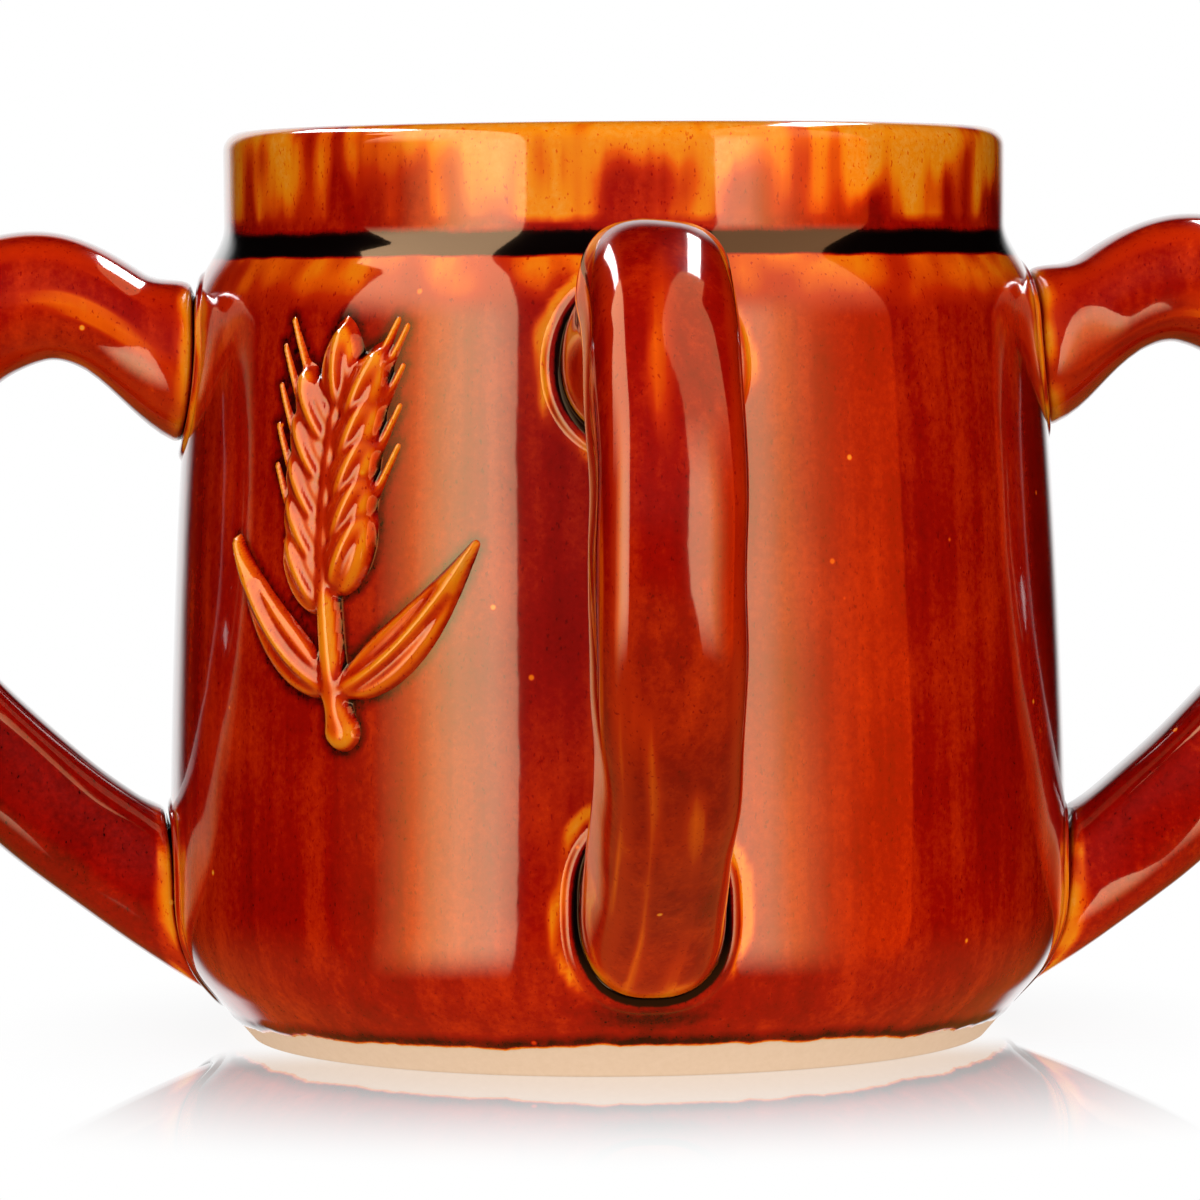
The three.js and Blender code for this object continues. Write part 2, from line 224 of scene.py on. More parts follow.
body = finish_mesh(body_mesh, "glazed_body", "amber_glaze", "body")
body_tree = BVHTree.FromBMesh(body_mesh)

# Handles: four ears of solid clay, pressed in a mould and bent over by hand while soft. Each end is
# flared, its edge is rounded with a wet finger, and it is set on the wall by eye, so no two sit
# quite alike.
handle_width = 15.3 * MM
lower_width = 14.2 * MM
handle_thickness = 12.6 * MM
lower_thickness = 13.8 * MM
knuckle_thickness = 15.2 * MM
knuckle_start = 7 * MM
knuckle_peak = 23 * MM
knuckle_end = 58 * MM
lower_start = 55 * MM
lower_end = 80 * MM
crest_squareness = 2.6
squareness = 3.0
square_start = 20 * MM
square_end = 40 * MM
upper_root_squareness = 2.1
lower_root_squareness = 2.6
upper_root_height = 71.8 * MM
upper_root_inset = 0.3 * MM
upper_root_slope = math.radians(24)
upper_root_pull = 6 * MM
upper_root_size = (18 * MM, 16.8 * MM)
lower_root_height = 14 * MM
lower_root_inset = 2.6 * MM
lower_root_slope = math.radians(29)
lower_root_pull = 14.4 * MM
lower_root_size = (15.2 * MM, 15.2 * MM)
root_flare = 9 * MM
crest_rise = 7.3 * MM
crest_reach = 12.9 * MM
crest_pull = 10.2 * MM
loop_drop = 25.3 * MM
loop_reach = 31.2 * MM
loop_upper_pull = 13.6 * MM
loop_lower_pull = 16.4 * MM
setting_error = 1.2 * MM
handle_lumps = 0.42 * MM
lump_span = 11 * MM
lump_sink = 0.8
handle_sides = 72
crest_steps = 40
loop_steps = 60
lower_steps = 80
seam_weld = 0.0001 * MM
clear_of_mug = 100 * MM
clear_of_wall = 25 * MM
# The rounded end edge, from inside the wall outwards: height over the wall and inset, in millimetres.
end_edge = [(-0.6, 1.5), (-0.15, 1.0), (0.12, 0.62), (0.4, 0.3), (0.75, 0.1), (1.2, 0.0)]
flare_rings = 7

# For each handle: its azimuth in degrees, how far its upper and its lower root are off, its twist in
# degrees, and how far its upper half leans to one side.
HANDLES = {
    "front": (-90, 0, 2 * setting_error, 9, -0.65 * MM),
    "right": (0, 0.6 * setting_error, -0.7 * setting_error, -3, 0),
    "back": (90, 0, 0, 4, 0.3 * MM),
    "left": (180, -setting_error / 3, 0, 3, 0),
}


def tube(mesh, rings):
    """Adds a tube through rings of points to a mesh, and keeps the shares of the way round and along."""
    sides = len(rings[0])
    around = mesh.verts.layers.float.new("around")
    along = mesh.verts.layers.float.new("along")
    grid = bmesh.ops.create_grid(mesh, x_segments=sides, y_segments=len(rings) - 1, size=1)["verts"]
    for index, vert in enumerate(grid):
        ring, side = divmod(index, sides + 1)
        vert.co = rings[ring][side % sides]
        vert[around] = side % sides / sides
        vert[along] = ring / (len(rings) - 1)
    bmesh.ops.remove_doubles(mesh, verts=grid, dist=seam_weld)


def squared(value, square):
    """A cosine or sine of a round section, pushed out towards the corners of a square one."""
    return math.copysign(abs(value) ** (2 / square), value)


def section(width, thickness, square):
    """Points of a handle's rounded section, as distances along its width and its thickness."""
    points = []
    for side in range(handle_sides):
        angle = 2 * math.pi * side / handle_sides
        across = width / 2 * squared(math.cos(angle), square)
        points.append((across, thickness / 2 * squared(math.sin(angle), square)))
    return points


def wall_radius(height):
    """Outside radius of the body at a height, from a ray shot at its axis."""
    return body_tree.ray_cast(Vector((clear_of_mug, 0, height)), Vector((-1, 0, 0)))[0].x


def ring_on(centre, wide, thick, size, square):
    return [centre + wide * across + thick * deep for across, deep in section(*size, square)]


def footprint(root, leaving, wide, size, square):
    """Where a root's outline, run straight back along the root, meets the wall."""
    thick = leaving.cross(wide)
    return [
        body_tree.ray_cast(point + clear_of_wall * leaving, -leaving)[0]
        for point in ring_on(root, wide, thick, size, square)
    ]


def root_rings(prints, leaving, first_ring, along):
    """Rings from the inside of the wall out to the first free ring of the handle."""
    middle = sum(prints, Vector()) / len(prints)
    rings = []
    for over, inset in end_edge:
        ring = []
        for point in prints:
            aside = point - middle
            aside -= leaving * aside.dot(leaving)
            ring.append(point + leaving * over * MM - aside.normalized() * inset * MM)
        rings.append(ring)
    steps = flare_rings + 2
    strands = []
    for near, free in zip(rings[-1], first_ring):
        pull = (free - near).length / 3
        strands.append(interpolate_bezier(near, near + leaving * pull, free - along * pull, free, steps))
    rings += [list(ring) for ring in zip(*strands)][1:-1]
    return rings


def flipped(ring):
    """A ring with its points in the other order, from the same first point."""
    return [ring[-side % handle_sides] for side in range(handle_sides)]


handle_feet = {}
handles = {}
for name, (azimuth, upper_offset, lower_offset, twist, lean) in HANDLES.items():
    out = Vector((math.cos(math.radians(azimuth)), math.sin(math.radians(azimuth)), 0))
    wide = Vector((-out.y, out.x, 0))
    up = Vector((0, 0, 1))
    upper_height = upper_root_height + upper_offset
    lower_height = lower_root_height + lower_offset
    upper = out * (wall_radius(upper_height) - upper_root_inset) + up * upper_height
    lower = out * (wall_radius(lower_height) - lower_root_inset) + up * lower_height
    crest = out * (belly_radius + crest_reach) + up * (upper.z + crest_rise)
    loop = out * (belly_radius + loop_reach) + up * (crest.z - loop_drop)
    upper_way = out * math.cos(upper_root_slope) + up * math.sin(upper_root_slope)
    lower_way = out * math.cos(lower_root_slope) + up * math.sin(lower_root_slope)
    upper_pull = upper + upper_way * upper_root_pull
    lower_pull = lower + lower_way * lower_root_pull
    loop_pull = loop + up * loop_upper_pull
    line = [
        *interpolate_bezier(upper, upper_pull, crest - out * upper_root_pull, crest, crest_steps)[:-1],
        *interpolate_bezier(crest, crest + out * crest_pull, loop_pull, loop, loop_steps)[:-1],
        *interpolate_bezier(loop, loop - up * loop_lower_pull, lower_pull, lower, lower_steps),
    ]
    steps = [(b - a).length for a, b in zip(line, line[1:])]
    run = np.concatenate([[0], np.cumsum(steps)])
    rings = []
    ways = []
    for i in range(1, len(line) - 1):
        if not root_flare < run[i] < run[-1] - root_flare - lower_root_inset:
            continue
        along = (line[i + 1] - line[i - 1]).normalized()
        knuckle = smoothstep(knuckle_start, knuckle_peak, run[i])
        knuckle *= 1 - smoothstep(knuckle_peak, knuckle_end, run[i])
        lower_share = smoothstep(lower_start, lower_end, run[i])
        thickness = handle_thickness + (knuckle_thickness - handle_thickness) * knuckle
        thickness += (lower_thickness - handle_thickness) * lower_share
        square_share = smoothstep(square_start, square_end, run[i])
        square = crest_squareness + (squareness - crest_squareness) * square_share
        turned = Matrix.Rotation(-math.radians(twist), 3, along) @ wide
        width = handle_width + (lower_width - handle_width) * lower_share
        centre = line[i] + wide * lean * (smoothstep(0, knuckle_peak, run[i]) - lower_share)
        rings.append(ring_on(centre, turned, along.cross(turned), (width, thickness), square))
        ways.append(along)
    upper_feet = footprint(upper, upper_way, wide, upper_root_size, upper_root_squareness)
    lower_feet = footprint(lower, lower_way, wide, lower_root_size, lower_root_squareness)
    upper_rings = root_rings(upper_feet, upper_way, rings[0], ways[0])
    lower_rings = root_rings(lower_feet, lower_way, flipped(rings[-1]), -ways[-1])
    whole = upper_rings + rings + [flipped(ring) for ring in reversed(lower_rings)]
    mesh = bmesh.new()
    tube(mesh, whole)
    bmesh.ops.holes_fill(mesh, edges=mesh.edges, sides=0)
    bmesh.ops.recalc_face_normals(mesh, faces=mesh.faces)
    mesh.normal_update()
    for vert in mesh.verts:
        vert.co += vert.normal * handle_lumps * (noise.noise(vert.co / lump_span) - lump_sink)
    handle_feet[name, "upper"] = upper_feet
    handle_feet[name, "lower"] = lower_feet
    handles[name] = finish_mesh(mesh, f"glazed_handle_{name}", "handle_glaze", f"handle_{name}")

# Slip joints: the slip that was brushed on under each root and squeezed out round it when the handle
# was pressed home. It fills the crease and stands round the root as a low soft ring.
# Each point of its section is a distance out from the root and a height over the wall, in millimetres.
slip_section = [
    (-1.3, -0.5), (-0.8, 0.1), (-0.4, 0.2), (0.0, 0.28), (0.3, 0.32), (0.6, 0.33), (0.85, 0.29),
    (1.05, 0.22), (1.2, 0.13), (1.35, 0.05), (1.55, 0.0), (1.8, -0.05), (2.1, -0.16), (1.6, -0.7),
]
slips = []
for (name, end), feet in handle_feet.items():
    count = len(feet)
    rings = []
    for away, over in slip_section:
        ring = []
        for side, point in enumerate(feet):
            surface, normal = body_tree.find_nearest(point)[:2]
            edge_way = feet[(side + 1) % count] - feet[side - 1]
            aside = edge_way.cross(normal).normalized()
            surface, normal = body_tree.find_nearest(surface + aside * away * MM)[:2]
            ring.append(surface + normal * over * MM)
        rings.append(ring)
    mesh = bmesh.new()
    tube(mesh, [*rings, rings[0]])
    bmesh.ops.remove_doubles(mesh, verts=mesh.verts, dist=seam_weld)
    bmesh.ops.recalc_face_normals(mesh, faces=mesh.faces)
    slips.append(finish_mesh(mesh, f"slip_{name}_{end}", "pooled_glaze", f"slip_joint_{name}_{end}"))

# Sprig: a barley ear on a stem with two leaves, pressed from a slab of clay in a small mould and
# luted on the wall between the left and the front handle. Its sizes run right and up along the
# wall from its middle, in millimetres, as its relief is worked out on a flat sheet first.
sprig_azimuth = math.radians(-132)
sprig_height = 54 * MM
sheet_half_width = 20
sheet_bottom = -22
sheet_top = 25
sheet_pitch = 0.25
stem_bottom = -19
stem_bend = 2
stem_half_width = 1.5
stem_tip_half_width = 0.8
stem_relief = 1.6
stem_foot_span = 1.2
stem_foot_swell = 0.45
stem_knot_span = 0.9
stem_knot_swell = 0.4
stem_steps = 120
ear_bottom = -5
grain_pairs = 5
grain_pitch = 4
pair_stagger = 0.5
grain_length = 9.6
grain_width = 5.2
grain_taper = 0.22
grain_relief = 2.2
grain_lift = 0.4
grain_tilt = math.radians(26)
keel_half_width = 0.34
keel_relief = 0.3
groove_offset = 0.95
groove_half_width = 0.3
groove_relief = 0.22
awn_start = 0.42
awn_length = 8
awn_half_width = 0.5
awn_taper = 0.6
awn_relief = 0.7
awn_limit = 22.4
awn_steps = 50
leaf_root = -15
leaf_bend_reach = 7.5
leaf_bend_rise = 5
leaf_reach = 15
leaf_rise = 15
leaf_half_width = 2.7
leaf_tip_half_width = 0.35
leaf_skew = 0.8
leaf_relief = 1.3
leaf_steps = 60
midrib_half_width = 0.4
midrib_relief = 0.45
fold_offset = 0.9
fold_half_width = 0.4
fold_relief = 0.35
fold_least_half_width = 1.5
relief_edge = -0.5
# Rounds of rubbing that soften the press, and that show what stands out from its surroundings.
press_rounds = 2
surround_rounds = 14
surround_floor = -0.2


def stem_lean(up):
    return stem_bend * (up / stem_bottom) ** 2


def bulge(share, relief, fall):
    """A domed section over a share of its half width. Outside it falls away below the wall."""
    inside = relief * np.sqrt(np.clip(1 - share ** 2, 0, None))
    return np.where(share < 1, inside, fall * (1 - share))


def ridge(distance, half_width, relief):
    return relief * np.exp(-(distance / half_width) ** 2)


def grain_shape(right, up, centre, tilt):
    """One plump grain in its husk, with its tip raised over the next and a keel along it."""
    along = (right - centre[0]) * math.sin(tilt) + (up - centre[1]) * math.cos(tilt)
    across = (right - centre[0]) * math.cos(tilt) - (up - centre[1]) * math.sin(tilt)
    share_along = along / (grain_length / 2)
    share_across = across / (grain_width / 2 * (1 - grain_taper * share_along))
    body_shape = bulge(np.hypot(share_along, share_across), grain_relief, grain_width / 2)
    taper = np.clip(1 - share_along ** 2, 0, None)
    keel = ridge(across, keel_half_width, keel_relief)
    keel -= ridge(np.abs(across) - groove_offset, groove_half_width, groove_relief)
    return body_shape + grain_lift * np.clip(share_along, -1, 1) + keel * taper


def strand_shape(right, up, points, half_widths, relief):
    """A rounded strand along points. Gives its height, the distance across it and the nearest point."""
    spread = np.hypot(right[..., None] - points[:, 0], up[..., None] - points[:, 1])
    nearest = spread.argmin(axis=-1)
    across = spread.min(axis=-1)
    return bulge(across / half_widths[nearest], relief, half_widths[nearest]), across, nearest


def leaf_shape(right, up, side):
    """A pointed leaf that bends up from the stem, with a midrib and a fold on either side of it."""
    root = Vector((stem_lean(leaf_root), leaf_root, 0))
    tip = root + Vector((side * leaf_reach, leaf_rise, 0))
    middle = root + Vector((side * leaf_bend_reach, leaf_bend_rise, 0))
    pull = 2 * middle - (root + tip) / 2
    root_pull = root.lerp(pull, corner_pull)
    curve = interpolate_bezier(root, root_pull, tip.lerp(pull, corner_pull), tip, leaf_steps)
    points = np.array([point[:2] for point in curve])
    share = np.linspace(0, 1, len(points))
    fullness = np.sin(np.pi * share ** leaf_skew)
    half_widths = leaf_tip_half_width + (leaf_half_width - leaf_tip_half_width) * fullness
    shape, across, nearest = strand_shape(right, up, points, half_widths, leaf_relief)
    folds = ridge(across - fold_offset, fold_half_width, fold_relief)
    folds *= half_widths[nearest] > fold_least_half_width
    midrib = ridge(across, midrib_half_width, midrib_relief)
    return shape + (midrib - folds) * np.sin(np.pi * share[nearest])


def sprig_relief(right, up):
    """Height of the sprig over the wall, below zero outside its outline."""
    ear_top = ear_bottom + grain_pitch * grain_pairs
    stem_up = np.linspace(stem_bottom, ear_top, stem_steps)
    stem_points = np.stack([stem_lean(stem_up), stem_up], axis=-1)
    stem_widths = np.linspace(stem_half_width, stem_tip_half_width, len(stem_up))
    stem_widths += ridge(stem_up - stem_bottom, stem_foot_span, stem_foot_swell)
    stem_widths += ridge(stem_up - leaf_root, stem_knot_span, stem_knot_swell)
    relief = strand_shape(right, up, stem_points, stem_widths, stem_relief)[0]
    for side in (-1, 1):
        relief = np.maximum(relief, leaf_shape(right, up, side))
    grains = [(stem_lean(ear_top), ear_top + grain_pitch / 2, 0)]
    for pair in reversed(range(grain_pairs)):
        for side in (1, -1):
            grain_up = ear_bottom + grain_pitch * (pair + (1 if side > 0 else pair_stagger))
            grains.append((stem_lean(grain_up) + side * grain_width / 2, grain_up, side * grain_tilt))
    for centre_right, centre_up, tilt in grains:
        way = np.array([math.sin(tilt), math.cos(tilt)])
        start = np.array([centre_right, centre_up]) + way * grain_length * awn_start
        reach = min(awn_length, (awn_limit - start[1]) / way[1])
        awn_share = np.linspace(0, 1, awn_steps)
        awn_points = start + np.outer(awn_share, way) * reach
        awn_widths = awn_half_width * (1 - awn_taper * awn_share)
        relief = np.maximum(relief, strand_shape(right, up, awn_points, awn_widths, awn_relief)[0])
    for centre_right, centre_up, tilt in grains:
        relief = np.maximum(relief, grain_shape(right, up, (centre_right, centre_up), tilt))
    return relief


def softened(heights, rounds):
    """A relief with its detail rubbed out, from repeated averages with the points beside it."""
    for _ in range(rounds):
        padded = np.pad(heights, 1, mode="edge")
        beside = padded[:-2, 1:-1] + padded[2:, 1:-1] + padded[1:-1, :-2] + padded[1:-1, 2:]
        heights = (2 * heights + beside) / 6
    return heights


sheet_right = np.arange(-sheet_half_width, sheet_half_width + sheet_pitch, sheet_pitch)
sheet_up = np.arange(sheet_bottom, sheet_top, sheet_pitch)
right, up = np.meshgrid(sheet_right, sheet_up)
relief = softened(sprig_relief(right, up), press_rounds)
standing_out = relief - softened(np.maximum(relief, surround_floor), surround_rounds)

sprig_mesh = bmesh.new()
standing_layer = sprig_mesh.verts.layers.float.new("standing_out")
sheet = bmesh.ops.create_grid(
    sprig_mesh, x_segments=len(sheet_right) - 1, y_segments=len(sheet_up) - 1, size=1,
)["verts"]
outside = []
for vert, across, above, over, standing in zip(sheet, right.flat, up.flat, relief.flat, standing_out.flat):
    if over < relief_edge:
        outside.append(vert)
        continue
    wall_height = sprig_height + above * MM
    azimuth = sprig_azimuth + across * MM / shoulder_radius
    away = Vector((math.cos(azimuth), math.sin(azimuth), 0))
    surface = body_tree.ray_cast(away * clear_of_mug + Vector((0, 0, wall_height)), -away)[0]
    vert.co = surface + away * over * MM
    vert[standing_layer] = standing
bmesh.ops.delete(sprig_mesh, geom=outside, context="VERTS")
bmesh.ops.holes_fill(sprig_mesh, edges=sprig_mesh.edges, sides=0)
bmesh.ops.recalc_face_normals(sprig_mesh, faces=sprig_mesh.faces)
sprig = finish_mesh(sprig_mesh, "glazed_barley_sprig", "sprig_glaze", "barley_sprig")

# Glaze: the put-together mug is dipped in one amber-brown glaze and fired. The glaze runs: it draws
# off the edges, where the pale clay shows through it as yellow and orange, and gathers in creases
# and in the cove, where it is nearly black. The foot is wiped bare before the firing.
# The dark of gathered glaze is also used as painted shade: under each lower root, and on the handles'
# lower arms.
crease_reach = 6 * MM


def points_of(piece):
    flat = np.empty(len(piece.data.vertices) * 3)
    piece.data.vertices.foreach_get("co", flat)
    return flat.reshape(-1, 3)


def tree_of(pieces):
    """One search tree over the faces of several pieces."""
    verts = []
    faces = []
    for piece in pieces:
        first = len(verts)
        verts += [vert.co for vert in piece.data.vertices]
        faces += [[first + corner for corner in face.vertices] for face in piece.data.polygons]
    return BVHTree.FromPolygons(verts, faces)


def distances(tree, points):
    """Distance from each point to the nearest face, up to the reach of a crease."""
    found = np.full(len(points), crease_reach)
    for index, point in enumerate(points):
        distance = tree.find_nearest(point, crease_reach)[3]
        if distance is not None:
            found[index] = distance
    return found


def blotches(points, span, drawn_down=1):
    """Smooth patches from -1 to 1 about a span across, drawn out downwards by a factor."""
    scale = np.array([1, 1, 1 / drawn_down]) / span
    return np.array([noise.noise(point) for point in points * scale])


def broken(points, span, drawn_down, usual, swing):
    """A share from 0 to 1 that wanders in patches round a usual one."""
    return np.clip(usual + swing * blotches(points, span, drawn_down), 0, 1)


def band(low, high, soft, value):
    """One between two limits and zero outside them, with soft ends."""
    return smoothstep(low - soft, low + soft, value) * (1 - smoothstep(high - soft, high + soft, value))


def keep(piece, name, values):
    layer = piece.data.attributes.new(name, "FLOAT", "POINT")
    layer.data.foreach_set("value", np.asarray(values, dtype=np.float32))


def kept(piece, name):
    values = np.empty(len(piece.data.vertices))
    piece.data.attributes[name].data.foreach_get("value", values)
    return values


# Distances from a root to the halo of thin glaze round it, to the dark crease and to the painted shade
# under it, and the heights over the table between which the halo ends and the painted shade begins.
halo_start = 1.7 * MM
halo_end = 3.2 * MM
halo_soft = 0.7 * MM
halo_wander = 1.1 * MM
halo_wander_span = 2.4 * MM
halo_patch_span = 4 * MM
halo_drawn_down = 2
halo_heights = (7 * MM, 12 * MM)
crease_gaps = (0.55 * MM, 1.3 * MM)
shade_under_root_gaps = (2.5 * MM, 6 * MM)
shade_under_root_heights = (6 * MM, 10 * MM)
shade_under_root_weight = 0.6


def root_halo(points, root_gap):
    """Broken halo of thin glaze on the wall round a root, the dark pool of glaze in its crease, and
    painted shade on the wall under it.
    """
    height = points[:, 2]
    edge = root_gap + halo_wander * blotches(points, halo_wander_span, halo_drawn_down)
    halo = band(halo_start, halo_end, halo_soft, edge)
    halo *= broken(points, halo_patch_span, halo_drawn_down, usual=0.8, swing=0.9)
    halo *= smoothstep(*halo_heights, height)
    # Painted shade: a soft dark patch on the wall under each lower root, where the handle shades it.
    shade_under_root = (1 - smoothstep(*shade_under_root_gaps, root_gap)) * (1 - smoothstep(*shade_under_root_heights, height))
    return halo, np.maximum(1 - smoothstep(*crease_gaps, root_gap), shade_under_root_weight * shade_under_root)


handle_tree = tree_of(handles.values())
sprig_tree = tree_of([sprig])

# On the body the glaze draws off the collar in flames and patches, and off the shoulder below the cove,
# and pools in the cove and round the sprig.
flame_span = 2.9 * MM
flame_drawn_down = 3.5
flame_weight = 0.7
lick_span = 1.2 * MM
lick_drawn_down = 7
lick_weight = 0.35
ragged_span = 4 * MM
collar_heights = (85.3 * MM, 86.6 * MM)
collar_usual = 0.7
collar_rise = 0.65
collar_patch_span = 9 * MM
collar_patch_drawn_down = 0.8
collar_patch_weight = 0.75
shoulder_wander = 1.1 * MM
shoulder_gaps = (0.5 * MM, 8 * MM)
shoulder_overlap = 0.4 * MM
shoulder_weight = 0.75
cove_wander = 0.25 * MM
cove_pool_bottom = (82.25 * MM, 83 * MM)
cove_pool_top = (84.3 * MM, 85.9 * MM)
sprig_crease = (0.1 * MM, 1.3 * MM)
sprig_crease_weight = 0.6
spots = points_of(body)
spot_radius = np.hypot(spots[:, 0], spots[:, 1])
spot_height = spots[:, 2]
is_outside = spot_radius > np.where(spot_height < cove_height, shoulder_radius, collar_radius) - wall / 2
is_outside |= spot_height < floor_height - MM
root_gap = distances(handle_tree, spots)
sprig_gap = distances(sprig_tree, spots)
flames = blotches(spots, flame_span, flame_drawn_down)
flames += lick_weight * blotches(spots, lick_span, lick_drawn_down)
ragged = blotches(spots, ragged_span)
collar_share = (spot_height - collar_foot) / (lip_top - collar_foot)
collar_thin = collar_usual + collar_rise * (collar_share - 0.5) + flame_weight * flames
collar_thin += collar_patch_weight * blotches(spots, collar_patch_span, collar_patch_drawn_down)
collar_thin = np.clip(collar_thin, 0, 1) * smoothstep(*collar_heights, spot_height)
below_cove = cove_height - spot_height + shoulder_wander * ragged
shoulder_thin = 1 - smoothstep(*shoulder_gaps, below_cove)
shoulder_thin *= spot_height < cove_height + shoulder_overlap
shoulder_thin *= broken(spots, span=3 * MM, drawn_down=2, usual=0.85, swing=0.6)
# Round the roots: the thin halo, the pooled crease, and painted shade under the lower roots.
halo, root_pool_and_shade = root_halo(spots, root_gap)
cove_edge = spot_height + cove_wander * ragged
cove_pool = smoothstep(*cove_pool_bottom, cove_edge) * (1 - smoothstep(*cove_pool_top, cove_edge))
cove_pool *= is_outside
sprig_pool = 1 - smoothstep(*sprig_crease, sprig_gap)
keep(body, "thin", np.maximum.reduce([collar_thin, shoulder_weight * shoulder_thin, halo]))
keep(body, "pool_and_shade", np.maximum.reduce([cove_pool, root_pool_and_shade, sprig_crease_weight * sprig_pool]))
glaze_edge = np.array([wiped_line(math.atan2(y, x)) for x, y, _ in spots])
keep(body, "above_edge", np.where(is_outside, spot_height - glaze_edge, base_corner_height) / MM)

# On a handle it draws off the rim of each root, in runs along the arm and off the arm's four corners.
# It settles on top of the lower arm, and more on some handles than on others; this darkening is partly
# settled glaze and partly painted shade from the upper arm and the mug.
rim_start = 0.4 * MM
rim_end = 1.9 * MM
rim_soft = 0.4 * MM
root_gaps = (1.5 * MM, 6 * MM)
root_weight = 0.7
runs_around = 3.6
runs_along = 5
runs_apart = 7
run_edges = (0.1, 0.65)
run_weight = 0.65
corner_edges = (0.75, 1)
corner_weight = 0.34
lower_arm_heights = (40 * MM, 55 * MM)
crevice_gaps = (0.05 * MM, 0.4 * MM)
top_slopes = (0, 0.5)
top_pool_and_shade_weight = 0.45
SETTLED_GLAZE_AND_SHADE = {"front": 0, "right": 0.3, "back": 0.3, "left": 0.4}
settled_and_shaded_cover = 1.5
for place, (side, handle) in enumerate(handles.items()):
    spots = points_of(handle)
    wall_gap = distances(body_tree, spots)
    rim_thin = band(rim_start, rim_end, rim_soft, wall_gap)
    rim_thin *= broken(spots, span=4 * MM, drawn_down=1, usual=0.85, swing=1)
    root_thin = 1 - smoothstep(*root_gaps, wall_gap)
    root_thin *= broken(spots, span=3 * MM, drawn_down=1, usual=0.4, swing=0.6)
    turn = 2 * np.pi * kept(handle, "around")
    onward = runs_along * kept(handle, "along") + runs_apart * place
    unrolled = [runs_around * np.cos(turn), runs_around * np.sin(turn), onward]
    run_thin = smoothstep(*run_edges, blotches(np.stack(unrolled, axis=-1), 1))
    corner_thin = corner_weight * smoothstep(*corner_edges, np.abs(np.sin(2 * turn)))
    lower_arm = 1 - smoothstep(*lower_arm_heights, spots[:, 2])
    # Painted shade as well as settled glaze: the lower arms are darkened, not at all on the front handle
    # and most on the left.
    settled_and_shaded = SETTLED_GLAZE_AND_SHADE[side] * lower_arm * (1 - rim_thin)
    run_thin *= run_weight * (1 - settled_and_shaded_cover * settled_and_shaded)
    keep(handle, "thin", np.maximum.reduce([rim_thin, root_weight * root_thin, run_thin, corner_thin]))
    normals = np.empty(len(spots) * 3)
    handle.data.vertices.foreach_get("normal", normals)
    upward_slope = normals[2::3]
    # Upward faces of the lower arm are darkened: partly glaze settled there, partly painted shade under
    # the upper arm.
    on_top_pool_and_shade = smoothstep(*top_slopes, upward_slope) * lower_arm
    crevice = 1 - smoothstep(*crevice_gaps, wall_gap)
    keep(handle, "pool_and_shade", np.maximum.reduce([crevice, top_pool_and_shade_weight * on_top_pool_and_shade, settled_and_shaded]))
for slip in slips:
    spots = points_of(slip)
    # On the slips: the thin halo, the pooled crease, and painted shade under the lower roots.
    halo, root_pool_and_shade = root_halo(spots, distances(handle_tree, spots))
    keep(slip, "thin", halo)
    keep(slip, "pool_and_shade", root_pool_and_shade)

# On the sprig it draws off what stands out and gathers in what lies lower, in millimetres.
proud_edges = (-0.15, 0.35)
hollow_edges = (0.02, 0.4)
hollow_weight = 0.9
standing = kept(sprig, "standing_out")
keep(sprig, "thin", smoothstep(*proud_edges, standing))
keep(sprig, "pool_and_shade", hollow_weight * smoothstep(*hollow_edges, -standing))


def node(tree, kind, inputs, **settings):
    """Adds a shader node. inputs gives a value, or the socket that feeds it, for each of its sockets."""
    made = tree.nodes.new("ShaderNode" + kind)
    for setting, value in settings.items():
        setattr(made, setting, value)
    for socket, value in inputs.items():
        if isinstance(value, bpy.types.NodeSocket):
            tree.links.new(value, made.inputs[socket])
        else:
            made.inputs[socket].default_value = value
    return made


def attribute(tree, name):
    return node(tree, "Attribute", {}, attribute_name=name).outputs["Fac"]


def pattern(tree, place, scale, detail, roughness=0.5):
    inputs = {"Vector": place, "Scale": scale, "Detail": detail, "Roughness": roughness}
    return node(tree, "TexNoise", inputs).outputs[0]


def squeezed(tree, place, scale):
    return node(tree, "Mapping", {"Vector": place, "Scale": scale}).outputs[0]


def times_plus(tree, value, factor, added):
    return node(tree, "Math", {0: value, 1: factor, 2: added}, operation="MULTIPLY_ADD").outputs[0]


def product(tree, first, second):
    return node(tree, "Math", {0: first, 1: second}, operation="MULTIPLY").outputs[0]


def varied(tree, value, noisy, swing):
    """A value that a pattern round a half moves up and down, by half the swing each way."""
    return times_plus(tree, noisy, swing, times_plus(tree, value, 1, -swing / 2))


def ease(tree, value, low, high):
    made = node(tree, "MapRange", {0: value, 1: low, 2: high}, interpolation_type="SMOOTHSTEP")
    return made.outputs[0]


def mixed(tree, share, first, second):
    return node(tree, "Mix", {0: share, 2: first, 3: second}, data_type="FLOAT").outputs[0]


def mixed_colour(tree, share, first, second):
    return node(tree, "Mix", {0: share, 6: first, 7: second}, data_type="RGBA").outputs[2]


def ramp(tree, share, stops):
    made = node(tree, "ValToRGB", {0: share})
    elements = made.color_ramp.elements
    for index, (place, colour) in enumerate(stops):
        element = elements[index] if index < len(elements) else elements.new(place)
        element.position = place
        element.color = (*colour, 1)
    return made.outputs[0]


